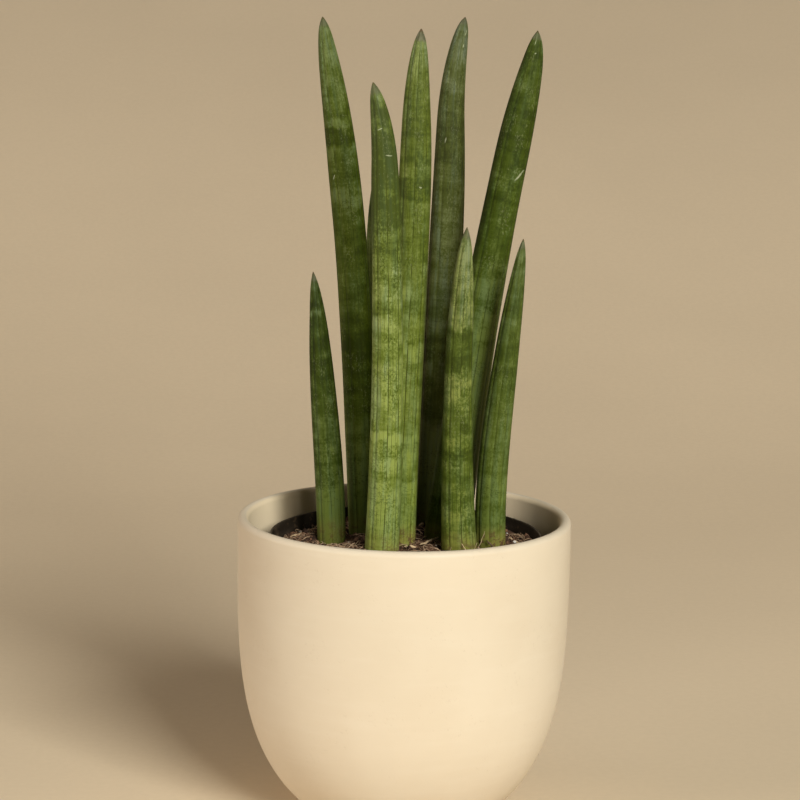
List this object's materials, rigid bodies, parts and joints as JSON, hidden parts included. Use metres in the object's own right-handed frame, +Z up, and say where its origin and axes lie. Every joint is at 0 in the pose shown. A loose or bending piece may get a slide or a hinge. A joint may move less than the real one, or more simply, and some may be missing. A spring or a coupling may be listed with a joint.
{
  "type": "potted cylindrical snake plant",
  "caption": "Cylindrical snake plant: upright round, pointed, grooved leaves standing in soil in a thin black nursery pot, set inside a cream cover pot with a rounded base.",
  "frame": {"origin": "centre of the cover pot's foot, on the surface it stands on", "axes": "+Z up along the pot's axis; the front, as pictured, faces -Y, with +X to the viewer's right"},
  "size_m": [0.15, 0.15, 0.3568],
  "materials": {
    "cream_clay": "matte cream glaze on fired clay",
    "black_plastic": "thin moulded black plastic",
    "soil": "matte dark brown potting mix with fibres and chips",
    "leaf_dark": "waxy dark green with faint pale and dark cross bands",
    "leaf_mid": "waxy mid green with faint cross bands",
    "leaf_light": "waxy yellow-green with mottled cross bands",
    "leaf_olive": "waxy dull grey-olive green"
  },
  "bodies": {
    "root": {"cover_pot": "cream_clay", "nursery_pot": "black_plastic", "soil": "soil", "leaf_tall_left": "leaf_dark", "leaf_short_left": "leaf_dark", "leaf_front_left": "leaf_light", "leaf_back_left": "leaf_mid", "leaf_tall_centre": "leaf_light", "leaf_back_right": "leaf_olive", "leaf_tall_right": "leaf_dark", "leaf_front_right": "leaf_light", "leaf_short_right": "leaf_mid"}
  },
  "joints": []
}
